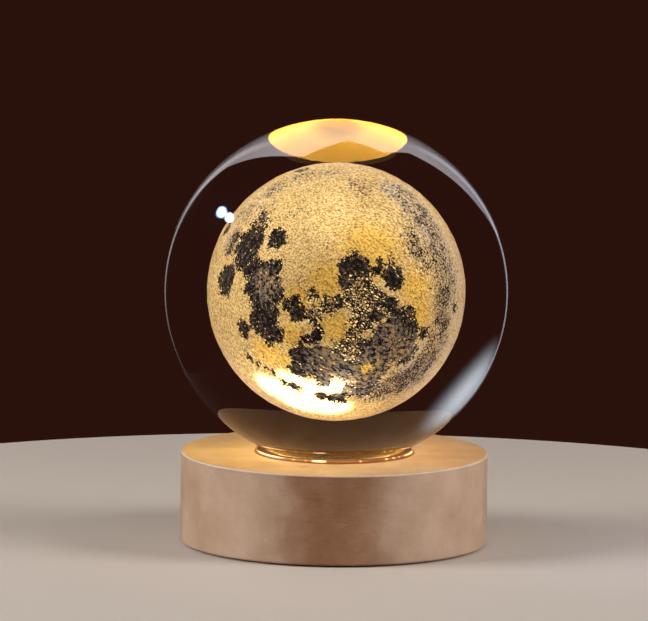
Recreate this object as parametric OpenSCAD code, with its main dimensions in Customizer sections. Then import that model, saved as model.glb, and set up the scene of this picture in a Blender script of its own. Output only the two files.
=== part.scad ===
// Moon lamp: a clear crystal ball with a moon engraved inside it, standing on a lit wooden base.
// Millimetres, +Z up. The origin is the middle of the base on the table, and the front faces -Y.

/* [Crystal ball] */
// Diameter of the crystal ball
ball_d = 80; // [74:1:90]
// Diameter of the engraved moon, over its highlands
moon_d = 39.6; // [36:0.2:46]
// Height of the highlands above the floors of the seas
highland_h = 0.7; // [0.5:0.05:1]
// How far the highlands swell above and sink below their mean surface
swell_h = 0.12; // [0:0.02:0.2]
// Depth of a crater's floor below the highlands' mean surface
crater_depth = 0.3; // [0.2:0.02:0.4]
// Clearance between the engraving's layers and the clear crystal round them
engraving_gap = 0.05; // [0.03:0.01:0.1]

/* [Moon] */
// Latitude on the moon that faces the front
moon_front_lat = 0.6; // [-20:0.2:20]
// Longitude on the moon that faces the front, east positive
moon_front_lon = -13.2; // [-60:0.2:60]
// Turn of the moon's north from straight up, clockwise as seen from the front
moon_roll = -154; // [-180:1:180]
// How far the coasts wander in and out, in degrees on the moon
coast_ragged = 2.6; // [0:0.2:4]
// Width of the slope from the highlands down to a sea, in degrees on the moon
coast_slope = 3; // [2:0.5:6]
// Number of craters
craters = 60; // [20:1:70]
// Smallest crater's radius
crater_min = 0.6; // [0.4:0.05:0.8]
// Largest crater's radius
crater_max = 2.1; // [1.2:0.1:2.4]
// Number of rings of points from pole to pole
moon_rings = 44; // [24:1:46]
// Number of points round a ring
moon_columns = 66; // [48:1:68]
// How much closer together the points lie on the near side than on the far side
near_detail = 0.4; // [0:0.05:0.5]

/* [Seat ring] */
// Radius of the circle on which the ball rests
seat_r = 15.4; // [14:0.2:17]
// Height of that circle above the wood
seat_proud = 0.4; // [0:0.1:1.5]
// Width of the conical seat
seat_w = 1.2; // [0.8:0.1:2]
// Clearance between the resting ball and its seat
seat_gap = 0.1; // [0.05:0.01:0.2]
// Outer radius of the seat ring
ring_r = 18.4; // [17.6:0.1:20]
// Depth of the seat ring in the wood
ring_depth = 3.6; // [3:0.1:4.5]
// Bevel on the ring's top outer edge
ring_bevel = 0.5; // [0.2:0.1:0.8]
// Clearance round the ring and round the window in the wood
ring_fit = 0.1; // [0.05:0.01:0.2]

/* [Light window] */
// Radius of the frosted window
window_r = 16.2; // [15:0.1:17]
// Thickness of the window
window_t = 1.5; // [1:0.1:2]
// Radius of the hole under the window
light_hole_r = 13.6; // [12.5:0.1:14.5]
// Thickness of the wooden ledge under the window
ledge_t = 2; // [1.5:0.1:3]
// Wall of the white reflector
reflector_wall = 0.8; // [0.6:0.1:1.2]
// How much the reflector's wall thickens towards the lights
reflector_taper = 1; // [0.5:0.1:1.5]

/* [Wooden base] */
// Diameter of the wooden base
base_d = 71; // [68:1:80]
// Height of the wooden base
base_h = 21; // [20:0.2:24]
// Chamfer round the top edge
top_chamfer = 0.3; // [0.2:0.1:1.5]
// Chamfer round the bottom edge
bottom_chamfer = 0.4; // [0.2:0.1:1.5]
// Thickness of the wooden wall round the hollow
wall_t = 10; // [8.5:0.5:10.5]

/* [Bottom cover] */
// Radius of the bottom cover
cover_r = 30.8; // [30.6:0.1:31.4]
// Thickness of the cover
cover_t = 2; // [1.8:0.1:2.6]
// Clearance round the cover
cover_fit = 0.2; // [0.1:0.05:0.3]
// Number of cover screws
cover_screw_count = 3; // [3, 6]
// Distance of the cover screws inside the cover's rim
cover_screw_inset = 2.5; // [2.4:0.1:2.8]
// Radius of a cover screw's shank
cover_screw_r = 1.1; // [0.9:0.1:1.3]
// Radius of a cover screw's head
cover_head_r = 2.2; // [2:0.1:2.3]
// Length of a cover screw
cover_screw_len = 8; // [7:0.5:10]
// Number of feet
foot_count = 4; // [3:1:6]
// Radius of a foot
foot_r = 4; // [3:0.1:5]
// Distance of the feet from the middle
foot_pitch = 20.5; // [18:0.5:22]
// Depth of a foot's recess in the cover
foot_recess = 0.8; // [0.5:0.1:1]
// Clearance round a foot in its recess
foot_fit = 0.1; // [0.05:0.05:0.2]
// How far the feet lift the base off the table
foot_proud = 0.4; // [0.3:0.1:1]

/* [Light board] */
// Clearance between the light board's rim and the hollow's wall
board_gap = 1.7; // [1.2:0.1:2.5]
// Thickness of the light board
board_t = 1.6; // [1:0.2:1.8]
// Number of lights in the ring round the middle one
light_count = 6; // [4:1:8]
// Distance of the ring of lights from the middle
light_pitch = 7.6; // [6:0.2:8]
// Length of a light's package
light_len = 3.5; // [3:0.1:3.8]
// Width of a light's package
light_w = 2.8; // [2.5:0.1:3]
// Height of a light's package
light_h = 0.8; // [0.6:0.1:1.2]
// Radius of the phosphor in a light
phosphor_r = 1.1; // [0.8:0.1:1.15]
// Depth of the phosphor in a light
phosphor_t = 0.4; // [0.3:0.05:0.5]
// Number of board screws
board_screw_count = 3; // [3, 6]
// Distance of the board screws inside the board's rim
board_screw_inset = 2.6; // [2.4:0.1:2.9]
// Radius of a board screw's shank
board_screw_r = 0.9; // [0.7:0.1:1]
// Radius of a board screw's head
board_head_r = 1.8; // [1.6:0.1:1.9]
// Height of a board screw's head
board_head_h = 1.2; // [1:0.1:1.4]
// Length of a board screw under its head
board_screw_len = 4.4; // [3.4:0.1:4.6]
// Width of a screw's cross slot
slot_w = 0.4; // [0.3:0.05:0.5]
// Depth of a screw's cross slot
slot_depth = 0.6; // [0.4:0.1:0.8]
// Share of a screw head's radius that its slot reaches
slot_share = 0.65; // [0.5:0.05:0.8]
// Clearance round a screw's shank
screw_fit = 0.1; // [0.05:0.05:0.2]
// Spare depth of a pilot hole past its screw's tip
pilot_spare = 0.5; // [0.3:0.1:1]
// Length of a resistor
resistor_len = 2; // [1.6:0.1:3.2]
// Width of a resistor
resistor_w = 1.25; // [0.8:0.05:1.6]
// Height of a resistor
resistor_h = 0.5; // [0.4:0.05:0.7]
// Distance of the resistors from the middle
resistor_y = 6; // [4:0.5:9]
// Distance between the two resistors
resistor_spacing = 4; // [3.5:0.5:8]

/* [Power jack] */
// Radius of the jack's threaded barrel
jack_r = 3; // [2.8:0.1:3.2]
// Radius of the jack's flange
jack_flange_r = 4.5; // [4.2:0.1:4.8]
// Thickness of the jack's flange
jack_flange_t = 1.2; // [1:0.1:1.6]
// Radius of the socket, for a 3.5 mm plug
socket_r = 1.85; // [1.8:0.01:1.95]
// Depth of the socket
socket_depth = 9; // [8:0.5:10]
// Radius of the centre pin, for a 1.35 mm hole
pin_r = 0.65; // [0.5:0.01:0.65]
// Radius of the pin's root, behind the socket's floor
pin_root_r = 0.9; // [0.8:0.05:1]
// How far the pin's tip lies inside the socket's mouth
pin_recess = 0.8; // [0.5:0.1:2]
// How far the flange's edges lie inside the wood's surface
jack_inset = 0.1; // [0:0.05:0.3]
// Clearance round the washer on its flat spot
spot_fit = 0.4; // [0.2:0.1:0.8]
// Depth of the flat spot at its edges
spot_depth = 0.4; // [0.2:0.1:0.8]
// Clearance round the jack in the wood
jack_fit = 0.15; // [0.05:0.05:0.25]
// Distance from the cavity's floor up to the jack's nut
nut_clearance = 0.6; // [0.4:0.1:0.8]
// Width of the nut across its flats
nut_flats = 8; // [7.4:0.1:8.4]
// Thickness of the nut
nut_t = 2; // [1.6:0.1:2.4]
// How far the washer stands out round the nut's flats
washer_rim = 0.5; // [0.3:0.1:0.8]
// Thickness of the washer
washer_t = 0.5; // [0.3:0.1:0.8]
// How far the barrel's thread stands out past the nut
thread_proud = 1.2; // [0.8:0.1:2]
// Width of a solder tag
tag_w = 1.6; // [1.2:0.1:2]
// Thickness of a solder tag
tag_t = 0.3; // [0.2:0.05:0.4]
// Length of a solder tag behind the jack
tag_len = 3; // [2.5:0.1:3.5]
// Height of the contact spring above the jack's middle
contact_rise = 1.5; // [1.4:0.05:1.6]

/* [Wires] */
// Radius of a wire over its insulation
wire_r = 0.6; // [0.4:0.05:0.7]
// Radius of a wire's bend at its middle
wire_bend = 1.5; // [1.2:0.1:1.8]
// Straight length of the black wire from its solder tag
black_run = 1.5; // [1.3:0.1:2]
// Straight length of the red wire from its solder tag
red_run = 5; // [4.5:0.1:6]
// Radius of a blob of solder
solder_r = 1.1; // [1:0.1:1.3]
// Thickness of solder between a wire and its tag
solder_film = 0.1; // [0.05:0.05:0.2]

/* [Hidden] */
$fn = 96;
eps = 0.01;

// How far a cut from outside runs past the wood's surface
cut_past = 1;

// Largest value of waves()
wave_peak = 1.5;

// Share of a crater's radius at its floor and at its mouth, and its number of sides
crater_floor = 0.55;
crater_mouth = 1.1;
crater_sides = 14;

// Radii
ball_r = ball_d / 2;
base_r = base_d / 2;
moon_r = moon_d / 2;
sea_r = moon_r - highland_h;
highland_max_r = moon_r + swell_h * wave_peak;
engraving_r = highland_max_r + engraving_gap;
ring_pocket_r = ring_r + ring_fit;
window_pocket_r = window_r + ring_fit;
cover_pocket_r = cover_r + cover_fit;
cover_screw_pitch = cover_r - cover_screw_inset;
hollow_r = base_r - wall_t;
board_r = hollow_r - board_gap;
board_screw_pitch = board_r - board_screw_inset;

// Heights, from the table up
wood_z = foot_proud;
cover_top = wood_z + cover_t;
wood_top = wood_z + base_h;
ring_z = wood_top - ring_depth;
window_z = ring_z - window_t;
roof_z = window_z - ledge_t;
board_z = roof_z - board_t;
contact_z = wood_top + seat_proud;
seat_slope = seat_r / sqrt(ball_r * ball_r - seat_r * seat_r);
ball_z = contact_z + sqrt(ball_r * ball_r - seat_r * seat_r)
    + seat_gap * sqrt(1 + seat_slope * seat_slope);

// The jack lies along +Y in the rear wall, measured from its flange's outer face
nut_r = nut_flats / 2 / cos(30);
washer_r = nut_flats / 2 + washer_rim;
spot_r = washer_r + spot_fit;
jack_z = cover_top + nut_clearance + nut_flats / 2;
jack_y = sqrt(base_r * base_r - jack_flange_r * jack_flange_r) - jack_inset;
spot_y = sqrt(hollow_r * hollow_r - spot_r * spot_r) + spot_depth;
jack_end_y = spot_y - washer_t - nut_t - thread_proud;
jack_len = jack_y - jack_end_y;

// The wires end on the solder tags, the red one under its tag and the black one on top
wire_y = jack_end_y - tag_len + solder_r;
red_rise = -tag_t / 2 - solder_film - wire_r;
black_rise = contact_rise + tag_t + solder_film + wire_r;

// The seas, each [latitude, longitude, radius] in degrees on the moon
SEAS = [
    [35, -22, 12], [37, -10, 8.5], [28, -32, 9], [21, -9, 6], [31, -41, 7.5],
    [44, -11, 6.5], [45, -31, 4],                                              // Sea of Rains
    [-8, -53, 7], [2, -55, 11], [1, -46, 7], [11, -51, 10], [20, -52, 8.5],
    [9, -65, 6], [30, -59, 5],                                                 // Ocean of Storms
    [-12, -32, 7], [-5, -27, 6], [-13, -41, 5.5], [-5, -35, 6], [4, -31, 7],
    [14, -29, 9], [21, -38, 7], [10, -39, 8],                                  // Sea of Islands
    [-14, -22, 6], [-14, -29, 5],                                              // Known Sea
    [-24, -13, 8.4], [-15, -14, 6.3], [-19, -21, 5.4], [-9, -19, 5],           // Sea of Clouds
    [-27, -38, 6.3],                                                           // Sea of Moisture
    [25, 23, 9], [32, 17, 6.7], [30, 28, 4.5],                                 // Sea of Serenity
    [8, 32, 11], [5, 44, 6], [-4, 29, 4], [16, 35, 6.5], [10, 22, 5],          // Sea of Tranquillity
    [-16, 38, 5.4],                                                            // Sea of Nectar
    [-5, 54, 8.5], [-16, 56, 6], [2, 52, 6.5],                                 // Sea of Fertility
    [18, 62, 8],                                                               // Sea of Crises
    [11, 10, 5], [13, 4, 5],                                                   // Sea of Vapours
    [1, 1, 4], [2, -8, 5], [10, -4, 5],                                        // Middle and Seething Bays
    [55, 36, 4], [57, 9, 4], [61, -8, 4], [59, -19, 4], [56, -40, 4],          // Sea of Cold
    [51, -53, 4.5], [42, -57, 6],                                              // Bay of Dew
    [-6, -71, 3.5],                                                            // west edge basin
    [-19, -95, 6],                                                             // Eastern Sea
    [27, 148, 6], [-34, 164, 6], [-20, 129, 5], [-45, 100, 6], [-2, 87, 6]     // far side
];

// Unit vector to a place on the moon: X to 0 latitude and longitude, Y east, Z north
function place(lat, lon) = [cos(lat) * cos(lon), cos(lat) * sin(lon), sin(lat)];

// Angle between two unit vectors
function apart(a, b) = acos(max(-1, min(1, a * b)));

// Smooth unevenness between about -1 and 1, with n waves to a radian
function waves(p, n) = (sin(57 * n * p[0] + 40) * cos(57 * n * p[1])
    + sin(57 * n * p[1] + 100) * cos(57 * n * p[2])
    + sin(57 * n * p[2] + 200) * cos(57 * n * p[0])) / 2;

sea_places = [for (s = SEAS) [place(s[0], s[1]), s[2]]];

// Degrees from the nearest coast: positive on land, negative at sea
function from_coast(p) = min([for (s = sea_places) apart(p, s[0]) - s[1]])
    + coast_ragged * (0.6 * waves(p, 8) + 0.4 * waves(p, 17));

// Craters spread evenly over the moon on a golden spiral, each [latitude, longitude, radius]
golden_turn = 137.50776;
crater_list = [for (i = [0:craters - 1])
    let (lat = asin(1 - 2 * (i + 0.5) / craters), size = pow((i * 0.6180339) % 1, 2))
    [lat, i * golden_turn, crater_min + (crater_max - crater_min) * size]];

// Radius of the relief: a sea's bed dips below the sea's own radius, so the coast is where they meet
function relief_r(p) = sea_r + min(highland_h + swell_h * waves(p, 5),
    max(-highland_h, from_coast(p) * highland_h / coast_slope));

// Longitude at part t of the way round, with the near side's points closer together
function column_lon(t) = 360 * t - near_detail * sin(360 * t) * 180 / PI;

// The engraved relief as one closed surface of rings of points, with a point at each pole
module relief() {
    rings = [for (i = [1:moon_rings - 1], j = [0:moon_columns - 1])
        let (p = place(180 * i / moon_rings - 90, column_lon((j + (i % 2) / 2) / moon_columns)))
        p * relief_r(p)];
    south = place(-90, 0);
    north = place(90, 0);
    points = concat(rings, [south * relief_r(south), north * relief_r(north)]);
    last = (moon_rings - 2) * moon_columns;
    faces = concat(
        [for (i = [0:moon_rings - 3], j = [0:moon_columns - 1])
            let (a = i * moon_columns, b = a + moon_columns, k = (j + 1) % moon_columns)
            i % 2 == 0 ? [a + j, b + j, a + k] : [a + j, b + j, b + k]],
        [for (i = [0:moon_rings - 3], j = [0:moon_columns - 1])
            let (a = i * moon_columns, b = a + moon_columns, k = (j + 1) % moon_columns)
            i % 2 == 0 ? [b + j, b + k, a + k] : [a + j, b + k, a + k]],
        [for (j = [0:moon_columns - 1]) [len(rings), j, (j + 1) % moon_columns]],
        [for (j = [0:moon_columns - 1]) [len(rings) + 1, last + (j + 1) % moon_columns, last + j]]);
    polyhedron(points, faces);
}

// Puts the moon's children at the ball's middle, turned as the engraving stands
module as_engraved() {
    translate([0, 0, ball_z])
        rotate([0, moon_roll, 0])
            rotate([0, 0, -90])
                rotate([0, moon_front_lat, 0])
                    rotate([0, 0, -moon_front_lon])
                        children();
}

// Places children at the rear wall, with their Z out along +Y from the jack's outer face
module at_jack() {
    translate([0, jack_y, jack_z])
        rotate([-90, 0, 0])
            children();
}

// Copies children evenly round the axis, the first at the angle from
module around(count, pitch, from) {
    for (i = [0:count - 1])
        rotate([0, 0, from + 360 * i / count])
            translate([pitch, 0, 0])
                children();
}

// A screw's cross slot, cut downwards from z = 0
module cross_slot(head_r) {
    for (a = [0, 90])
        rotate([0, 0, a])
            translate([-head_r * slot_share, -slot_w / 2, -slot_depth])
                cube([head_r * slot_share * 2, slot_w, slot_depth + eps]);
}

module crystal_ball() {
    color([0.9, 0.93, 0.96, 0.3])
        translate([0, 0, ball_z])
            difference() {
                sphere(r = ball_r);
                sphere(r = engraving_r);
            }
}

// Cuts one crater's bowl, narrower at its floor, in a highland at the top of the Z axis
module crater(r) {
    hull() {
        translate([0, 0, moon_r - crater_depth])
            cylinder(r = r * crater_floor, h = eps, $fn = crater_sides);
        translate([0, 0, highland_max_r])
            cylinder(r = r * crater_mouth, h = eps, $fn = crater_sides);
    }
}

module moon_highlands() {
    under_fn = 40;
    color([0.86, 0.7, 0.4])
        as_engraved()
            difference() {
                relief();
                sphere(r = (sea_r + engraving_gap) / pow(cos(180 / under_fn), 2), $fn = under_fn);
                for (c = crater_list)
                    rotate([0, 90 - c[0], c[1]])
                        crater(c[2]);
            }
}

module moon_seas() {
    color([0.2, 0.17, 0.14])
        translate([0, 0, ball_z])
            sphere(r = sea_r);
}

module seat_ring() {
    bore_r = seat_r - seat_w / 2;
    crest_r = seat_r + seat_w / 2;
    bore_z = contact_z - seat_slope * seat_w / 2;
    crest_z = contact_z + seat_slope * seat_w / 2;
    color([0.95, 0.9, 0.8, 0.5])
        rotate_extrude()
            polygon([[bore_r, ring_z], [ring_r, ring_z], [ring_r, crest_z - ring_bevel],
                [ring_r - ring_bevel, crest_z], [crest_r, crest_z], [bore_r, bore_z]]);
}

module light_window() {
    color([0.98, 0.95, 0.88, 0.8])
        translate([0, 0, window_z])
            cylinder(r = window_r, h = window_t);
}

module reflector() {
    outer = light_hole_r - ring_fit;
    color("white")
        rotate_extrude()
            polygon([[outer - reflector_wall - reflector_taper, roof_z], [outer, roof_z],
                [outer, window_z], [outer - reflector_wall, window_z]]);
}

module wooden_base() {
    color([0.72, 0.56, 0.45])
        difference() {
            rotate_extrude()
                polygon([[light_hole_r, roof_z], [hollow_r, roof_z], [hollow_r, cover_top],
                    [cover_pocket_r, cover_top], [cover_pocket_r, wood_z],
                    [base_r - bottom_chamfer, wood_z], [base_r, wood_z + bottom_chamfer],
                    [base_r, wood_top - top_chamfer], [base_r - top_chamfer, wood_top],
                    [ring_pocket_r, wood_top], [ring_pocket_r, ring_z],
                    [window_pocket_r, ring_z], [window_pocket_r, window_z],
                    [light_hole_r, window_z]]);
            at_jack() {
                translate([0, 0, -jack_len])
                    cylinder(r = jack_r + jack_fit, h = jack_len + cut_past);
                translate([0, 0, -jack_flange_t])
                    cylinder(r = jack_flange_r + jack_fit, h = jack_flange_t + cut_past);
                translate([0, 0, spot_y - jack_y - spot_r])
                    cylinder(r = spot_r, h = spot_r);
            }
            around(board_screw_count, board_screw_pitch, 30)
                translate([0, 0, roof_z - eps])
                    cylinder(r = board_screw_r + screw_fit, h = board_screw_len - board_t + pilot_spare);
            around(cover_screw_count, cover_screw_pitch, 30)
                translate([0, 0, cover_top - eps])
                    cylinder(r = cover_screw_r + screw_fit, h = cover_screw_len - cover_t + pilot_spare);
        }
}

module light_board() {
    color([0.93, 0.93, 0.9])
        difference() {
            translate([0, 0, board_z])
                cylinder(r = board_r, h = board_t);
            around(board_screw_count, board_screw_pitch, 30)
                translate([0, 0, board_z - eps])
                    cylinder(r = board_screw_r + screw_fit, h = board_t + 2 * eps);
        }
}

// Copies children at each light, with z = 0 on the board
module at_lights() {
    translate([0, 0, roof_z]) {
        children();
        around(light_count, light_pitch, 0)
            children();
    }
}

module light_packages() {
    color([0.97, 0.97, 0.95])
        at_lights()
            difference() {
                translate([-light_len / 2, -light_w / 2, 0])
                    cube([light_len, light_w, light_h]);
                translate([0, 0, light_h - phosphor_t])
                    cylinder(r = phosphor_r, h = phosphor_t + eps);
            }
}

module light_phosphors() {
    color([1, 0.8, 0.35])
        at_lights()
            translate([0, 0, light_h - phosphor_t])
                cylinder(r = phosphor_r, h = phosphor_t);
}

module resistors() {
    color([0.12, 0.12, 0.13])
        for (side = [-1, 1])
            translate([side * resistor_spacing / 2 - resistor_w / 2, resistor_y - resistor_len / 2,
                board_z - resistor_h])
                cube([resistor_w, resistor_len, resistor_h]);
}

module board_screws() {
    color([0.78, 0.78, 0.8])
        around(board_screw_count, board_screw_pitch, 30)
            translate([0, 0, board_z])
                difference() {
                    union() {
                        cylinder(r = board_screw_r, h = board_screw_len);
                        translate([0, 0, -board_head_h])
                            cylinder(r = board_head_r, h = board_head_h);
                    }
                    translate([0, 0, -board_head_h])
                        mirror([0, 0, 1])
                            cross_slot(board_head_r);
                }
}

module power_jack() {
    color([0.08, 0.08, 0.09])
        at_jack()
            difference() {
                union() {
                    translate([0, 0, -jack_len])
                        cylinder(r = jack_r, h = jack_len);
                    translate([0, 0, -jack_flange_t])
                        cylinder(r = jack_flange_r, h = jack_flange_t);
                }
                translate([0, 0, -socket_depth])
                    cylinder(r = socket_r, h = socket_depth + eps);
                translate([0, 0, -jack_len - eps])
                    cylinder(r = pin_root_r, h = jack_len - socket_depth + 2 * eps);
                // slot in which the contact spring lies, open to the socket
                translate([-tag_w / 2, -contact_rise - tag_t, -jack_len - eps])
                    cube([tag_w, tag_t, jack_len - jack_flange_t]);
            }
}

module jack_pin() {
    color([0.85, 0.75, 0.45])
        at_jack() {
            translate([0, 0, -jack_len])
                cylinder(r = pin_root_r, h = jack_len - socket_depth);
            translate([0, 0, -jack_len])
                cylinder(r = pin_r, h = jack_len - pin_recess);
            translate([-tag_w / 2, -tag_t / 2, -jack_len - tag_len])
                cube([tag_w, tag_t, tag_len]);
        }
}

module jack_contact() {
    color([0.85, 0.75, 0.45])
        at_jack()
            translate([-tag_w / 2, -contact_rise - tag_t, -jack_len - tag_len])
                cube([tag_w, tag_t, jack_len + tag_len - jack_flange_t]);
}

module jack_washer() {
    color([0.8, 0.8, 0.82])
        translate([0, spot_y, jack_z])
            rotate([90, 0, 0])
                difference() {
                    cylinder(r = washer_r, h = washer_t);
                    translate([0, 0, -eps])
                        cylinder(r = jack_r + jack_fit, h = washer_t + 2 * eps);
                }
}

module jack_nut() {
    color([0.75, 0.75, 0.78])
        translate([0, spot_y - washer_t, jack_z])
            rotate([90, 0, 0])
                difference() {
                    cylinder(r = nut_r, h = nut_t, $fn = 6);
                    translate([0, 0, -eps])
                        cylinder(r = jack_r, h = nut_t + 2 * eps);
                }
}

// A wire from its tag inwards and then up to the board, with its middle rise above the jack's
module wire(rise, run) {
    z = jack_z + rise;
    translate([0, wire_y - run, z]) {
        rotate([-90, 0, 0])
            cylinder(r = wire_r, h = run);
        translate([0, 0, wire_bend])
            rotate([0, -90, 0])
                rotate([0, 0, 180])
                    rotate_extrude(angle = 90)
                        translate([wire_bend, 0])
                            circle(r = wire_r);
        translate([0, -wire_bend, wire_bend])
            cylinder(r = wire_r, h = board_z - z - wire_bend);
    }
}

module red_wire() {
    color([0.75, 0.08, 0.06])
        wire(red_rise, red_run);
}

module black_wire() {
    color([0.06, 0.06, 0.06])
        wire(black_rise, black_run);
}

// Solder round a wire's end on the board's underside
module board_solder(run) {
    translate([0, wire_y - run - wire_bend, board_z])
        difference() {
            sphere(r = solder_r);
            translate([-solder_r, -solder_r, 0])
                cube(2 * solder_r);
            translate([0, 0, -2 * solder_r])
                cylinder(r = wire_r, h = 3 * solder_r);
        }
}

// Solder round a wire's end on its tag: up is 1 where the wire lies on top of the tag, and -1 under it
module tag_solder(rise, up) {
    seat = wire_r + solder_film;
    translate([0, wire_y, jack_z + rise])
        difference() {
            sphere(r = solder_r);
            translate([-solder_r, -solder_r, up > 0 ? -2 * solder_r - seat : seat])
                cube(2 * solder_r);
            rotate([90, 0, 0])
                cylinder(r = wire_r, h = 2 * solder_r);
        }
}

module solder_joints() {
    color([0.8, 0.8, 0.82]) {
        board_solder(red_run);
        board_solder(black_run);
        tag_solder(red_rise, -1);
        tag_solder(black_rise, 1);
    }
}

module bottom_cover() {
    color([0.1, 0.1, 0.1])
        difference() {
            translate([0, 0, wood_z])
                cylinder(r = cover_r, h = cover_t);
            around(cover_screw_count, cover_screw_pitch, 30) {
                translate([0, 0, wood_z - eps])
                    cylinder(r = cover_screw_r + screw_fit, h = cover_t + 2 * eps);
                translate([0, 0, wood_z - eps])
                    cylinder(r1 = cover_head_r + screw_fit + eps, r2 = cover_screw_r + screw_fit,
                        h = cover_head_r - cover_screw_r + eps);
            }
            around(foot_count, foot_pitch, 45)
                translate([0, 0, wood_z - eps])
                    cylinder(r = foot_r + foot_fit, h = foot_recess + eps);
        }
}

module cover_screws() {
    color([0.78, 0.78, 0.8])
        around(cover_screw_count, cover_screw_pitch, 30)
            translate([0, 0, wood_z])
                difference() {
                    union() {
                        cylinder(r = cover_screw_r, h = cover_screw_len);
                        cylinder(r1 = cover_head_r, r2 = cover_screw_r, h = cover_head_r - cover_screw_r);
                    }
                    mirror([0, 0, 1])
                        cross_slot(cover_head_r);
                }
}

module rubber_feet() {
    color([0.18, 0.18, 0.18])
        around(foot_count, foot_pitch, 45)
            cylinder(r = foot_r, h = foot_proud + foot_recess);
}

crystal_ball();
moon_highlands();
moon_seas();
seat_ring();
light_window();
reflector();
wooden_base();
light_board();
light_packages();
light_phosphors();
resistors();
board_screws();
power_jack();
jack_pin();
jack_contact();
jack_washer();
jack_nut();
red_wire();
black_wire();
solder_joints();
bottom_cover();
cover_screws();
rubber_feet();
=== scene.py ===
"""Looks of the moon lamp: a crystal ball with an engraved moon, on a lit base of turned beech."""

import logging
import math
from dataclasses import dataclass
from enum import Enum

import bpy
import numpy as np
from mathutils import Matrix, Vector


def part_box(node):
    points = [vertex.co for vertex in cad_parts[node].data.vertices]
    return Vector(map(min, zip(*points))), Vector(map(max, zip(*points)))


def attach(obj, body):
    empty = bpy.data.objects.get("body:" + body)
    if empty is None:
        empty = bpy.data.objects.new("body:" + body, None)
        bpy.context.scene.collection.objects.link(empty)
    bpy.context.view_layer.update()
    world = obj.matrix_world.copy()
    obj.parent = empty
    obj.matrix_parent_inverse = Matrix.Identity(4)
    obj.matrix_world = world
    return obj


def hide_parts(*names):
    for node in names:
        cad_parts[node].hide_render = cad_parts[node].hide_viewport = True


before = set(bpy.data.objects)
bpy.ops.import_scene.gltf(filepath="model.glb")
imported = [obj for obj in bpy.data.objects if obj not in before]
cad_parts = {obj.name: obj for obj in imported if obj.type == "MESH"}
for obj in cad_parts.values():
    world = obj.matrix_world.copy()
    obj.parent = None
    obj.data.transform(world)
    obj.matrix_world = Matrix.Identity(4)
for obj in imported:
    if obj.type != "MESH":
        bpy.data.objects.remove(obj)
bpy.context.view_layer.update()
LOG = logging.getLogger("moon_lamp")
MM = 0.001
Faces = list[tuple[int, ...]]


# ---------------------------------------------------------------- helpers for colour, nodes and meshes


def hex_colour(code: str) -> tuple[float, ...]:
    """Turns an sRGB hex colour to the linear colour that a shader takes.

    Args:
        code: Six hex digits after a hash.

    Returns:
        Linear red, green and blue, and an alpha of 1.
    """
    srgb = [int(code[i:i + 2], 16) / 255 for i in (1, 3, 5)]
    return (*(c / 12.92 if c <= 0.04045 else ((c + 0.055) / 1.055) ** 2.4 for c in srgb), 1.0)


class Value:
    """One output of a node. Arithmetic on it adds the nodes that work the sum out."""

    def __init__(self, graph: "Graph", node: bpy.types.Node, output: int | str = 0) -> None:
        """Holds a node's output, by place or by name."""
        self.graph, self.node, self.output = graph, node, output

    def __getitem__(self, output: int | str) -> "Value":
        """Picks another output of the same node."""
        return Value(self.graph, self.node, output)

    def __add__(self, other: "Value | float") -> "Value":
        """Adds two values."""
        return self.graph.add("Math", {"operation": "ADD"}, i0=self, i1=other)

    def __sub__(self, other: "Value | float") -> "Value":
        """Takes a value from this one."""
        return self.graph.add("Math", {"operation": "SUBTRACT"}, i0=self, i1=other)

    def __rsub__(self, other: float) -> "Value":
        """Takes this value from a number."""
        return self.graph.add("Math", {"operation": "SUBTRACT"}, i0=other, i1=self)

    def __mul__(self, other: "Value | float") -> "Value":
        """Multiplies two values."""
        return self.graph.add("Math", {"operation": "MULTIPLY"}, i0=self, i1=other)

    __radd__, __rmul__ = __add__, __mul__

    def clamped(self) -> "Value":
        """Keeps this sum between 0 and 1."""
        self.node.use_clamp = True
        return self


class Graph:
    """The nodes of one material or light, built a node at a time."""

    def __init__(self, owner: bpy.types.Light | str) -> None:
        """Starts with no nodes, on a light or on a new material of the name given."""
        self.owner = bpy.data.materials.new(owner) if isinstance(owner, str) else owner
        self.owner.use_nodes = True
        self.tree = self.owner.node_tree
        self.tree.nodes.clear()

    def add(self, kind: str, settings: dict | None = None, **inputs: object) -> Value:
        """Adds a node, with its settings, values and links.

        Args:
            kind: The node's type, without its leading ShaderNode.
            settings: The node's own properties by name, or a ramp's stops, as positions and hex colours.
            **inputs: Values by input name, with spaces as underscores, or i0, i1 and so on by place.

        Returns:
            The new node's first output.
        """
        node = self.tree.nodes.new("ShaderNode" + kind)
        for name, value in (settings or {}).items():
            if name == "stops":
                elements = node.color_ramp.elements
                while len(elements) < len(value):
                    elements.new(0.5)
                for element, (place, code) in zip(elements, value):
                    element.position, element.color = place, hex_colour(code)
            else:
                setattr(node, name, value)
        for name, value in inputs.items():
            by_place = name[0] == "i" and name[1:].isdigit()
            socket = node.inputs[int(name[1:]) if by_place else name.replace("_", " ")]
            if isinstance(value, Value):
                self.tree.links.new(value.node.outputs[value.output], socket)
            else:
                socket.default_value = value
        return Value(self, node)

    def finish(self, shader: Value) -> bpy.types.ID:
        """Links the shader to the output and returns the material or light."""
        kind = "OutputMaterial" if isinstance(self.owner, bpy.types.Material) else "OutputLight"
        self.add(kind, Surface=shader)
        return self.owner


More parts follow.
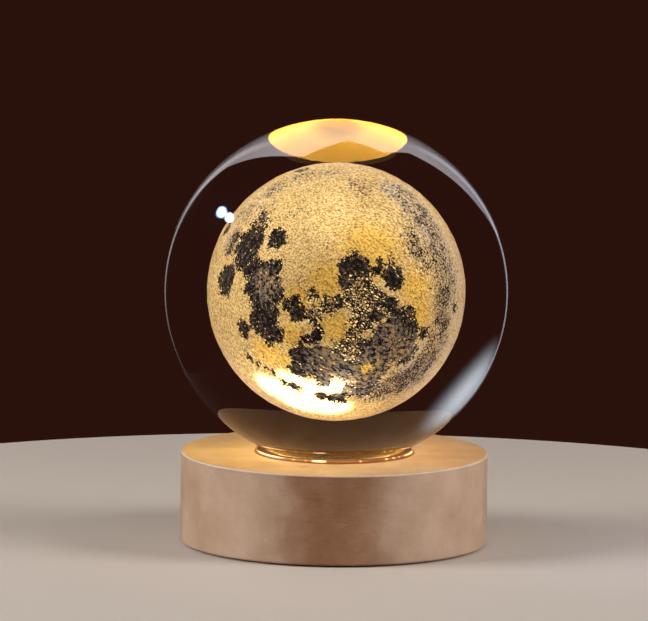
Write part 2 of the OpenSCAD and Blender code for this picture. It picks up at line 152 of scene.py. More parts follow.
def new_object(name: str, points: object, faces: object, material: bpy.types.Material) -> bpy.types.Object:
    """Makes a smooth-shaded mesh object.

    Args:
        name: The piece's name.
        points: Its points, in metres.
        faces: Its faces, as lists of point numbers.
        material: Its finish.

    Returns:
        The new object, in the scene.
    """
    mesh = bpy.data.meshes.new(name)
    mesh.from_pydata([tuple(p) for p in points], [], [tuple(f) for f in faces])
    mesh.validate()
    mesh.polygons.foreach_set("use_smooth", [True] * len(mesh.polygons))
    mesh.materials.append(material)
    piece = bpy.data.objects.new(name, mesh)
    bpy.context.scene.collection.objects.link(piece)
    return piece


def set_values(piece: bpy.types.Object, name: str, values: np.ndarray) -> None:
    """Puts a number on each point of a mesh, under a name that its finish reads."""
    layer = piece.data.attributes.new(name, "FLOAT", "POINT")
    layer.data.foreach_set("value", values.astype(np.float32))


def rounded(profile: list[tuple[float, float]], radius: float, steps: int = 4) -> list[tuple[float, float]]:
    """Rounds each corner of a closed profile.

    Args:
        profile: The corners, in order, as distance from the axis and height.
        radius: The rounding's reach along each side, cut down where a side is short.
        steps: Number of short sides in each rounded corner.

    Returns:
        The rounded profile.
    """
    out = []
    for i, corner in enumerate(profile):
        here, before, after = Vector(corner), Vector(profile[i - 1]), Vector(profile[(i + 1) % len(profile)])
        reach = min(radius, (before - here).length * 0.4, (after - here).length * 0.4)
        start = here + (before - here).normalized() * reach
        end = here + (after - here).normalized() * reach
        for t in (k / steps for k in range(steps + 1)):
            point = start * (1 - t) ** 2 + here * 2 * t * (1 - t) + end * t ** 2
            out.append((point.x, point.y))
    return out


def lathe(profile: list[tuple[float, float]], segments: int) -> tuple[np.ndarray, Faces]:
    """Turns a closed profile that stays clear of the axis about Z.

    Args:
        profile: Distance from the axis and height of each point, in order.
        segments: Number of steps round.

    Returns:
        The points and the faces.
    """
    turn = np.linspace(0, 2 * math.pi, segments, endpoint=False)
    reach, height = np.array(profile).T
    points = np.stack([np.outer(np.cos(turn), reach), np.outer(np.sin(turn), reach),
                       np.tile(height, (segments, 1))], axis=-1).reshape(-1, 3)
    count = len(profile)
    faces = []
    for s in range(segments):
        a, b = s * count, (s + 1) % segments * count
        faces += [(a + k, b + k, b + (k + 1) % count, a + (k + 1) % count) for k in range(count)]
    return points, faces


def bands(rows: int, count: int) -> Faces:
    """Lists the faces between rings of points, where each of the rows holds count points."""
    return [(a + j, a + (j + 1) % count, b + (j + 1) % count, b + j)
            for a, b in ((i * count, (i + 1) * count) for i in range(rows - 1)) for j in range(count)]


def drum(radius: float, low: float, high: float, count: int) -> tuple[list[Vector], Faces]:
    """Makes a flat-ended drum about Z.

    Args:
        radius: Its radius.
        low: Height of its lower end.
        high: Height of its upper end.
        count: Number of sides.

    Returns:
        The points and the faces.
    """
    turn = np.linspace(0, 2 * math.pi, count, endpoint=False)
    points = [Vector((math.cos(t) * radius, math.sin(t) * radius, z)) for z in (low, high) for t in turn]
    return points, [tuple(range(count - 1, -1, -1)), tuple(range(count, 2 * count)), *bands(2, count)]


def direction(lat: np.ndarray | float, lon: np.ndarray | float) -> np.ndarray:
    """Unit vector to a latitude and longitude in degrees: X to 0 and 0, Y east, Z north."""
    lat, lon = np.radians(lat), np.radians(lon)
    return np.stack([np.cos(lat) * np.cos(lon), np.cos(lat) * np.sin(lon), np.sin(lat) + 0 * lon], axis=-1)


def degrees_from(middle: np.ndarray, points: np.ndarray) -> np.ndarray:
    """Angle in degrees from one unit vector to each of the points."""
    return np.degrees(np.arccos(np.clip(points @ middle, -1, 1)))


def globe(lat: np.ndarray, lon: np.ndarray) -> tuple[np.ndarray, Faces]:
    """Lays points on a sphere of radius 1, in rows of latitude with a pole at each end.

    Args:
        lat: Latitude of each row in degrees, from the south.
        lon: Longitude of each point of a row in degrees.

    Returns:
        The points, row by row and then the poles, and the faces.
    """
    grid_lat, grid_lon = np.meshgrid(lat, lon, indexing="ij")
    points = np.vstack([direction(grid_lat.ravel(), grid_lon.ravel()), [[0, 0, -1], [0, 0, 1]]])
    rows, n = len(lat), len(lon)
    last = (rows - 1) * n
    return points, [*bands(rows, n), *((rows * n, (j + 1) % n, j) for j in range(n)),
                    *((rows * n + 1, last + j, last + (j + 1) % n) for j in range(n))]


def value_noise(points: np.ndarray, cell: float, seed: int) -> np.ndarray:
    """Smooth noise between -1 and 1 at each point.

    Args:
        points: The points, one to a row.
        cell: Size of the noise's cells, in the points' own unit.
        seed: Which noise.

    Returns:
        One value for each point.
    """
    size = 64
    grid = np.random.default_rng(seed).uniform(-1, 1, (size, size, size))
    place = points / cell + size / 2
    low = np.floor(place).astype(int)
    t = place - low
    t = t * t * (3 - 2 * t)
    total = np.zeros(len(points))
    for step in np.ndindex(2, 2, 2):
        x, y, z = ((low + step) % size).T
        total += np.prod(np.abs(1 - np.array(step) - t), axis=1) * grid[x, y, z]
    return total


def smooth_step(low: float, high: float, value: np.ndarray) -> np.ndarray:
    """Eases from 0 at low to 1 at high."""
    t = np.clip((value - low) / (high - low), 0, 1)
    return t * t * (3 - 2 * t)


# ---------------------------------------------------------------- finishes


@dataclass(frozen=True)
class CrystalGlass:
    """Polished optical crystal. A clear body with a hard bright gloss, dark where its surroundings are."""

    tint: str = "#FBFCFF"
    ior: float = 1.52

    def material(self) -> bpy.types.Material:
        """Builds the glass, which lets the studio's light through to the engraving in it.

        Returns:
            The finish.
        """
        g = Graph("polished_crystal_glass")
        glass = g.add("BsdfGlass", Color=hex_colour(self.tint), IOR=self.ior, Roughness=0.0)
        shadow = g.add("LightPath")["Is Shadow Ray"]
        return g.finish(g.add("MixShader", Fac=shadow, i1=glass, i2=g.add("BsdfTransparent")))


class Density(Enum):
    """How closely the laser set its points."""

    DENSE = "engraved_points_in_crystal"
    SPARSE = "sparse_points_in_crystal"


@dataclass(frozen=True)
class EngravedPoints:
    """Laser-engraved points in crystal. Warm light makes them a golden grain, with dark glass between."""

    density: Density
    glow: float = 0.53
    point_mm: float = 0.34
    speck_mm: float = 0.40
    pit_mm: float = 0.35
    stroke_mm: float = 0.30
    wave_mm: float = 0.62
    clump_mm: float = 0.42
    mottle_mm: float = 1.3
    # how much longer than wide the engraver's strokes are, and how they lie
    stretch: tuple[float, ...] = (1.8, 1.0, 1.0)
    slant: tuple[float, ...] = (0.3, 0.6, 0.2)
    # how fast a coast or a point's rim turns from dark to lit
    crisp: float = 6.0
    # share of the emitted colour that the points also reflect
    body: float = 0.65
    sheen: str = "#FFD8C4"

    def dots(self, g: Graph, place: Value, cell_mm: float, share: Value, reach: Value) -> Value:
        """Scatters dots, at most one to a cell, each there or not by chance.

        Args:
            g: The material's nodes.
            place: Where on the piece.
            cell_mm: Size of the cells.
            share: Part of the cells that have a dot.
            reach: Radius of a dot, as a part of its cell.

        Returns:
            1 inside a dot and 0 outside.
        """
        cell = g.add("TexVoronoi", Vector=place, Scale=1 / (cell_mm * MM))
        chance = g.add("SeparateColor", Color=cell["Color"])
        return ((share - chance) * 8.0).clamped() * ((reach - cell["Distance"]) * 9.0).clamped()

    def material(self) -> bpy.types.Material:
        """Builds a field of points, close on land and sparse at sea, from the values on the mesh.

        Returns:
            The finish.
        """
        g = Graph(self.density.value)
        place = g.add("TexCoord")["Object"]
        cover, specks, thin, faint, light, hot, gold = (
            g.add("Attribute", {"attribute_name": name})["Fac"]
            for name in ("cover", "specks", "thin", "faint", "light", "hot", "gold"))
        # points 0.34 mm apart, which is what shows of a cloud of far finer ones
        away = g.add("TexVoronoi", Vector=place, Scale=1 / (self.point_mm * MM))["Distance"]
        # unevenness about zero, the last two in short slanting strokes, left by the engraver's sweep
        slanted = g.add("Mapping", {"vector_type": "TEXTURE"}, Vector=place, Rotation=self.slant,
                        Scale=self.stretch)
        clump, mottle, stroke, wave = (
            g.add("TexNoise", Vector=where, Scale=1 / (size * MM), Detail=detail, Roughness=rough) - 0.5
            for where, size, detail, rough in (
                (place, self.clump_mm, 2.0, 0.65), (place, self.mottle_mm, 3.0, 0.6),
                (slanted, self.stroke_mm, 1.0, 0.5), (slanted, self.wave_mm, 1.0, 0.5)))
        # land and sea meet in ragged clumps
        land = ((cover - 0.5 + clump * 2.6 + mottle * 0.8) * self.crisp + 0.5).clamped()
        # how far each point reaches: wide enough to close up on land, and to leave gaps where it is thin
        reach = g.add("Mix", {"data_type": "FLOAT"}, i0=land, i2=specks * 0.80 + 0.04 + clump,
                      i3=clump * 0.9 + 1.06 - thin * 0.64)
        point = ((reach - away) * self.crisp).clamped()
        # dark pits where the land is thin, in clumps
        ragged = stroke * 0.7
        pits = land * self.dots(g, slanted, self.pit_mm, thin * 1.1 + 0.02 + mottle * 0.8, ragged + 0.44)
        # bright single points at sea
        strays = self.dots(g, slanted, self.speck_mm, specks * 0.95 + mottle * 0.9, ragged + 0.40)
        strays = strays * (1.0 - land)
        # how lit each place is: a point, the glass between, and a stray
        high = (mottle * 0.35 + stroke * 1.5 + 0.82) * (1.0 - pits * 0.85)
        low = faint * (stroke * 0.6 + wave * 0.8 + 0.21) + stroke * 0.30 + wave * 0.50 + 0.12
        between = g.add("Mix", {"data_type": "FLOAT"}, i0=point, i2=low, i3=high)
        lit = g.add("Math", {"operation": "MAXIMUM"}, i0=between, i1=strays)
        grain = g.add("ValToRGB", {"stops": (
            (0.0, "#0C0808"), (0.14, "#2A2320"), (0.34, "#7A6E60"), (0.56, "#AF8A54"), (0.78, "#DEB466"),
            (1.0, "#F7DC9A"))}, Fac=lit)
        # the painted light is a purer gold over some land, and pinker over the rest
        cast = g.add("ValToRGB", {"stops": ((0.0, "#BAC6FF"), (0.4, "#FFFFFF"), (1.0, "#FFEEA8"))}, Fac=gold)
        times = {"data_type": "RGBA", "blend_type": "MULTIPLY"}
        colour = g.add("Mix", times, i0=lit, i6=grain, i7=cast)[2]
        body = g.add("Mix", times, i0=1.0, i6=colour, i7=(self.body, self.body, self.body, 1.0))[2]
        # strays are brighter than their neighbours, and close points over the lights are white-hot
        taken_up = g.add("Math", {"operation": "MAXIMUM"}, i0=land, i1=0.22)
        # the emission is painted light: the lamp's light from below, scattered by the points
        strength = (light * (strays * 1.2 + 1.0) + hot * taken_up) * self.glow
        return g.finish(g.add(
            "BsdfPrincipled", Base_Color=body, Roughness=0.75, IOR=1.52, Specular_IOR_Level=0.0,
            Sheen_Weight=0.6, Sheen_Roughness=0.35, Sheen_Tint=hex_colour(self.sheen), Emission_Color=colour,
            Emission_Strength=strength))


@dataclass(frozen=True)
class TurnedBeech:
    """Beech, turned and waxed. A pale pink-brown satin with soft bands and short dark flecks."""

    # colours of the end grain, paler partly as painted light on the disc's sides
    end_and_painted_side_light_pale: str = "#CDB39F"
    end_and_painted_side_light_dark: str = "#B89C86"
    side_pale: str = "#B08567"
    side_dark: str = "#986E51"
    # colours of the top face, paler and yellower with painted warm light
    top_painted_glow_pale: str = "#D5B484"
    top_painted_glow_dark: str = "#BF9869"
    fleck: str = "#6E4F3A"
    # colour of the painted highlight along the top edge
    edge: str = "#FFFCF2"
    # the plank's grain runs along X: its figure is drawn out along it, and its flecks are 2 mm by 0.28 mm
    figure_mm: tuple[float, ...] = (60, 9, 20)
    blotch_mm: float = 9
    fleck_mm: tuple[float, ...] = (2, 2, 0.28)
    # distance from the middle plane at which the plank's ends, and the painted light on the disc's sides,
    # begin and are whole
    ends_and_painted_side_light_mm: tuple[float, float] = (4, 16)
    # where the top's chamfer starts, as distance from the axis and height added up
    edge_from: float = 0.0566
    top: float = 0.0214

    def material(self) -> bpy.types.Material:
        """Builds soft figure along the plank, and flecks that lie along its grain.

        Returns:
            The finish.
        """
        g = Graph("turned_waxed_beech")
        place = g.add("TexCoord")["Object"]
        along = g.add("Mapping", Vector=place, Scale=[1 / (size * MM) for size in self.figure_mm])
        figure = g.add("TexNoise", Vector=along, Scale=1.0, Detail=4.0, Roughness=0.55, Distortion=0.6)
        blotch = g.add("TexNoise", Vector=place, Scale=1 / (self.blotch_mm * MM), Detail=4.0, Roughness=0.6)
        tone = figure * 0.35 + blotch * 0.65
        end_grain_and_painted_side_light, side_grain, top_grain_and_painted_glow = (
            g.add("ValToRGB", {"stops": ((0.38, dark), (0.62, pale))}, Fac=tone)
            for dark, pale in ((self.end_and_painted_side_light_dark, self.end_and_painted_side_light_pale), (self.side_dark, self.side_pale),
                               (self.top_painted_glow_dark, self.top_painted_glow_pale)))
        # the plank's ends show at both X sides of the disc and are paler there: partly end grain, partly
        # painted light, which leaves a painted shade down the middle
        spot = g.add("SeparateXYZ", Vector=place)
        across = g.add("Math", {"operation": "ABSOLUTE"}, i0=spot["X"]) + (blotch - 0.5) * 0.006
        ends_and_painted_side_light = g.add("MapRange", {"interpolation_type": "SMOOTHSTEP"}, i0=across, i1=self.ends_and_painted_side_light_mm[0] * MM,
                     i2=self.ends_and_painted_side_light_mm[1] * MM)
        # the top face is end to end long grain, painted paler and yellower as the lamp's warm light makes it
        # look
        on_top_painted_glow = g.add("MapRange", i0=spot["Z"], i1=self.top - 0.2 * MM, i2=self.top - 0.1 * MM)
        # the cut ends of rays and pores, which show as flecks
        cut = g.add("Mapping", Vector=place, Scale=[1 / (size * MM) for size in self.fleck_mm])
        pores = g.add("TexNoise", Vector=cut, Scale=1.0, Detail=2.0, Roughness=0.6)
        flecks = ((pores - 0.56) * 5.0).clamped() * (0.5 - ends_and_painted_side_light * 0.38)
        # a painted highlight along the turned top edge, paler than the faces, more in some places than in
        # others
        flat = g.add("VectorMath", {"operation": "MULTIPLY"}, i0=place, i1=(1.0, 1.0, 0.0))
        corner = g.add("VectorMath", {"operation": "LENGTH"}, i0=flat)["Value"] + spot["Z"]
        edge_highlight_mask = g.add("MapRange", i0=corner, i1=self.edge_from, i2=self.edge_from + 0.12 * MM)
        worn = (edge_highlight_mask * (figure * 0.9 + 0.4)).clamped()
        colour = side_grain
        for share, over in ((ends_and_painted_side_light, end_grain_and_painted_side_light), (on_top_painted_glow, top_grain_and_painted_glow), (flecks, hex_colour(self.fleck)),
                            (worn, hex_colour(self.edge))):
            colour = g.add("Mix", {"data_type": "RGBA"}, i0=share, i6=colour, i7=over)[2]
        bump = g.add("Bump", Strength=0.12, Distance=0.2 * MM, Height=pores)
        return g.finish(g.add(
            "BsdfPrincipled", Base_Color=colour, Roughness=blotch * 0.2 + 0.38, IOR=1.5, Coat_Weight=0.15,
            Coat_Roughness=0.35, Normal=bump))


@dataclass(frozen=True)
class LitAcrylic:
    """Clear moulded acrylic that pipes the light under it. Its body is painted a dark amber as shade, and the
    light it pipes is a painted orange glow with painted white-hot glints.
    """

    body: str = "#6B4526"
    tint: str = "#E08A30"
    glint: str = "#FFE9B8"

    def material(self) -> bpy.types.Material:
        """Builds the acrylic, whose glints follow the ring's own glint value at each point.

        Returns:
            The finish.
        """
        g = Graph("lit_clear_acrylic")
        glint = g.add("Attribute", {"attribute_name": "glint"})["Fac"]
        white = ((glint - 0.25) * 1.6).clamped()
        colour = g.add("Mix", {"data_type": "RGBA"}, i0=white, i6=hex_colour(self.tint),
                       i7=hex_colour(self.glint))[2]
        return g.finish(g.add(
            "BsdfPrincipled", Base_Color=hex_colour(self.body), Roughness=0.34, IOR=1.49,
            Transmission_Weight=0.25, Emission_Color=colour, Emission_Strength=glint * 4.0 + 0.006))


@dataclass(frozen=True)
class FrostedAcrylic:
    """Opal acrylic, lit from behind. An even warm glow, hottest over each light."""

    colour: str = "#FFDDAA"
    strength: float = 3.5
    pool_mm: float = 6

    def material(self) -> bpy.types.Material:
        """Builds the glow with soft pools over the ring of lights.

        Returns:
            The finish.
        """
        g = Graph("frosted_opal_acrylic")
        place = g.add("TexCoord")["Object"]
        pools = g.add("TexNoise", Vector=place, Scale=1 / (self.pool_mm * MM), Detail=1.0)
        return g.finish(g.add(
            "BsdfPrincipled", Base_Color=hex_colour(self.colour), Roughness=0.6, IOR=1.49,
            Emission_Color=hex_colour(self.colour), Emission_Strength=(pools + 0.5) * self.strength))


@dataclass(frozen=True)
class MouldedPlastic:
    """Injection-moulded plastic or rubber, or a coated board. A fine even grain over one colour."""

    name: str
    colour: str
    worn: str
    roughness: float = 0.5
    ior: float = 1.46
    grain_mm: float = 0.4
    depth_mm: float = 0.02
    cloud_mm: float = 12

    def material(self) -> bpy.types.Material:
        """Builds the mould's spark grain and a slow change of tone.

        Returns:
            The finish.
        """
        g = Graph(self.name)
        place = g.add("TexCoord")["Object"]
        grain = g.add("TexNoise", Vector=place, Scale=1 / (self.grain_mm * MM), Detail=2.0)
        cloud = g.add("TexNoise", Vector=place, Scale=1 / (self.cloud_mm * MM), Detail=3.0)
        colour = g.add("ValToRGB", {"stops": ((0.35, self.colour), (0.7, self.worn))}, Fac=cloud)
        bump = g.add("Bump", Strength=0.5, Distance=self.depth_mm * MM, Height=grain)
        rough = grain * 0.15 + (self.roughness - 0.07)
        return g.finish(g.add("BsdfPrincipled", Base_Color=colour, Roughness=rough, IOR=self.ior,
                              Normal=bump))


@dataclass(frozen=True)
class PlatedMetal:
    """Plated or soldered metal. Bright, with faint drawn lines and a slow change of tone."""

    name: str
    colour: str
    dull: str
    roughness: float = 0.3
    line_mm: float = 0.15
    depth_mm: float = 0.01
    cloud_mm: float = 3

    def material(self) -> bpy.types.Material:
        """Builds the plating's fine lines.

        Returns:
            The finish.
        """
        g = Graph(self.name)
        place = g.add("TexCoord")["Object"]
        lines = g.add("TexNoise", Vector=place, Scale=1 / (self.line_mm * MM), Detail=1.0)
        cloud = g.add("TexNoise", Vector=place, Scale=1 / (self.cloud_mm * MM), Detail=3.0)
        colour = g.add("ValToRGB", {"stops": ((0.35, self.colour), (0.7, self.dull))}, Fac=cloud)
        bump = g.add("Bump", Strength=0.2, Distance=self.depth_mm * MM, Height=lines)
        rough = cloud * 0.15 + (self.roughness - 0.07)
        return g.finish(g.add("BsdfPrincipled", Base_Color=colour, Metallic=1.0, Roughness=rough,
                              Normal=bump))


@dataclass(frozen=True)
class LitPhosphor:
    """Phosphor in clear resin. Yellow, and too bright to look at."""

    pale: str = "#FFD27A"
    deep: str = "#F2B04A"
    strength: float = 12.0
    grain_mm: float = 0.2

    def material(self) -> bpy.types.Material:
        """Builds the phosphor's grain and glow.

        Returns:
            The finish.
        """
        g = Graph("lit_phosphor_resin")
        place = g.add("TexCoord")["Object"]
        grain = g.add("TexNoise", Vector=place, Scale=1 / (self.grain_mm * MM), Detail=1.0)
        colour = g.add("ValToRGB", {"stops": ((0.3, self.deep), (0.7, self.pale))}, Fac=grain)
        return g.finish(g.add("BsdfPrincipled", Base_Color=colour, Roughness=0.3, IOR=1.5,
                              Emission_Color=colour, Emission_Strength=self.strength))


@dataclass(frozen=True)
class StudioCard:
    """Matt painted card, for the studio's floor. It takes soft shadows and has no shine."""

    name: str = "pale_matt_card"
    near: str = "#D8D4CF"
    far: str = "#D8D4CF"
    # how far before and behind the middle its colour changes from near to far
    fade: float = 45 * MM
    tooth_mm: float = 0.8

    def material(self) -> bpy.types.Material:
        """Builds the card with its faint paper tooth, and any change of colour from front to back.

        Returns:
            The finish.
        """
        g = Graph(self.name)
        place = g.add("TexCoord")["Object"]
        colour = hex_colour(self.near)
        if self.far != self.near:
            depth = g.add("SeparateXYZ", Vector=place)["Y"]
            share = g.add("MapRange", {"interpolation_type": "SMOOTHSTEP"}, i0=depth, i1=-self.fade,
                          i2=self.fade)
            colour = g.add("ValToRGB", {"stops": ((0.0, self.near), (1.0, self.far))}, Fac=share)
        tooth = g.add("TexNoise", Vector=place, Scale=1 / (self.tooth_mm * MM), Detail=2.0)
        bump = g.add("Bump", Strength=0.1, Distance=0.1 * MM, Height=tooth)
        return g.finish(g.add("BsdfPrincipled", Base_Color=colour, Roughness=0.7, Normal=bump))


# ---------------------------------------------------------------- the ball


@dataclass
class CrystalBall:
    """The solid crystal ball."""

    segments: int = 192
    rings: int = 96
    skin: float = 0.02 * MM
    body: str = "ball"

    def build(self) -> bpy.types.Object:
        """Makes the ball where the CAD ball is, without the engraving's recess, and dresses it.

        Returns:
            The ball.
        """
        low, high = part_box("crystal_ball")
        radius = (high.z - low.z) / 2 - self.skin
        points, faces = globe(np.linspace(-90, 90, self.rings + 1)[1:-1],
                              np.linspace(0, 360, self.segments, endpoint=False))
        placed = points * radius + (0, 0, (low.z + high.z) / 2)
        piece = new_object("solid_crystal_ball", placed, faces, CrystalGlass().material())
        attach(piece, self.body)
        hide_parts("crystal_ball")
        return piece


@dataclass(frozen=True)
class Patch:
    """A round patch of the moon's map: its latitude, longitude and radius in degrees, and its strength."""

    lat: float
    lon: float
    radius: float
    weight: float = 1.0


def patches(*rows: tuple[float, ...]) -> tuple[Patch, ...]:
    """Makes patches from rows of latitude, longitude, radius and, where that isn't 1, strength."""
    return tuple(Patch(*row) for row in rows)


SEAS = {
    "sea_of_rains": patches((35, -22, 12), (37, -10, 8.5), (28, -32, 10), (21, -9, 6.2), (31, -41, 7.7),
                            (44, -11, 6.6), (45, -31, 4)),
    "ocean_of_storms": patches((-8, -53, 7.5), (2, -55, 11.4), (1, -46, 7.3), (11, -51, 10.3), (20, -51, 8.8),
                               (9, -65, 6), (30, -57, 6)),
    "sea_of_islands": patches((-12, -32, 7), (-5, -27, 6), (-13, -41, 5.6), (-5, -35, 6), (4, -31, 7),
                              (14, -29, 9), (21, -38, 7), (10, -39, 8)),
    "known_sea": patches((-14, -22, 6), (-14, -29, 5)),
    "sea_of_clouds": patches((-24, -13, 8.4), (-15, -14, 6.3), (-19, -21, 5.4), (-9, -19, 5)),
    "sea_of_moisture": patches((-27, -38, 6.3), (-34, -27, 2.6), (-28, -26, 2.4)),
    "sea_of_serenity": patches((24, 23, 9), (32, 17, 6.7), (30, 28, 4.5)),
    "sea_of_tranquillity": patches((8, 32, 11), (5, 44, 6), (-4, 29, 4), (16, 35, 6.5), (10, 22, 5)),
    "sea_of_nectar": patches((-16, 38, 5.4)),
    "sea_of_fertility": patches((-5, 54, 9), (-16, 56, 6), (2, 52, 6.5), (-20, 60, 3)),
    "sea_of_crises": patches((18, 62, 7.2)),
    "sea_of_vapours": patches((11, 10, 5), (13, 4, 5)),
    "middle_bay": patches((1, 1, 3), (2, -8, 5), (10, -4, 5), (-3, -13, 4)),
    "sea_of_cold": patches((55, 36, 1.9), (56, 26, 1.4), (57, 15, 1.3), (57, 9, 1.9), (60, -1, 1.4),
                           (61, -8, 2.4), (60, -14, 1.7), (59, -19, 2.5), (56, -40, 2.2)),
    "bay_of_dew": patches((51, -53, 4.5), (41, -54, 6), (38, -60, 6)),
    "sea_of_snakes": patches((37, 39, 3), (41, 37, 2.5)),
    "west_edge_basin": patches((-6, -71, 3)),
    "eastern_sea": patches((-19, -95, 2.5)),
    "far_side": patches((27, 148, 6), (-34, 164, 6), (-20, 129, 5), (-45, 100, 3), (-2, 87, 2.5)),
}
THIN_LAND = patches(
    (-86, -60, 11, 0.55), (-80, -100, 11, 0.7), (-72, -84, 12, 0.8), (-62, -80, 13, 0.8), (-52, -80, 13, 0.9),
    (-43, -82, 13, 0.85), (-33, -83, 12, 0.8), (-23, -83, 11, 0.9), (-12, -83, 11, 0.9), (-2, -85, 11, 0.9),
    (8, -86, 11, 0.9), (18, -84, 12, 0.9), (28, -76, 12, 0.95), (36, -68, 10), (-54, -52, 8, 0.8),
    (-47, -54, 6), (-40, -60, 6, 0.6), (-62, -62, 12, 0.4), (-46, 82, 9, 0.5), (-61, 80, 10, 0.35),
    (-32, 80, 9, 0.6),
    (-14, 78, 9, 0.6), (0, 70, 8, 0.8), (-36, -33, 5, 0.5), (-22, 66, 8, 0.45), (-74, 40, 9, 0.3))
FAINT_SEA = patches((5, -62, 9), (20, -55, 15), (36, -50, 14), (33, -25, 13), (8, 30, 9), (2, -48, 9))
BRIGHT_LAND = patches((-26, -56, 9), (-36, -58, 6), (11, -19, 7), (44, 16, 11), (22, 2, 7), (-46, 20, 15),
                      (-50, -18, 14))
DULL_LAND = patches((-14, 12, 15), (-2, 15, 9), (-22, 24, 10), (-20, -76, 12), (8, -84, 10))
SPECKLED_SEA = patches((8, -27, 11), (-12, -24, 13), (20, -32, 8), (4, -4, 9), (-20, 57, 7))
# where the painted light is a purer gold
PAINTED_GOLD_LIGHT = patches((11, -18, 9), (27, 3, 8), (-26, -55, 11), (-14, -62, 9), (44, 16, 10), (44, 2, 6),
                    (8, 8, 9), (-10, -2, 12), (-38, -18, 18), (25, -49, 5))
# painted sheen round the moon's edge as seen from the front, paler and pinker, as points seen edge-on look
PAINTED_LIMB_SHEEN = patches((-80, -95, 16), (-62, -95, 18), (-46, -105, 18), (-32, -105, 18), (-17, -106, 18),
                    (0, -104, 16), (16, -94, 14), (0, 82, 12, 0.4), (-22, 82, 12, 0.4), (14, -73, 7),
                    (3, -72, 6, 0.7))
RAY_SPLASHES = patches((11, -18, 8.6), (7, -37, 4.2), (25, -49, 3.8), (27, 3, 6), (19, -3, 5.5),
                       (3, -21, 3.4))
# where the lights below are seen straight through the ball: a direction, and a reach in degrees
HOT_SPOTS = ((-0.55, -0.31, -0.78, 8), (-0.45, -0.35, -0.82, 10), (-0.34, -0.35, -0.87, 11),
             (-0.22, -0.36, -0.90, 12), (-0.09, -0.36, -0.93, 11), (-0.03, -0.35, -0.94, 9),
             (-0.45, -0.56, -0.70, 4), (-0.35, -0.57, -0.75, 7), (-0.21, -0.56, -0.80, 7),
             (-0.07, -0.58, -0.81, 8), (0.04, -0.67, -0.75, 8), (0.07, -0.60, -0.80, 6))


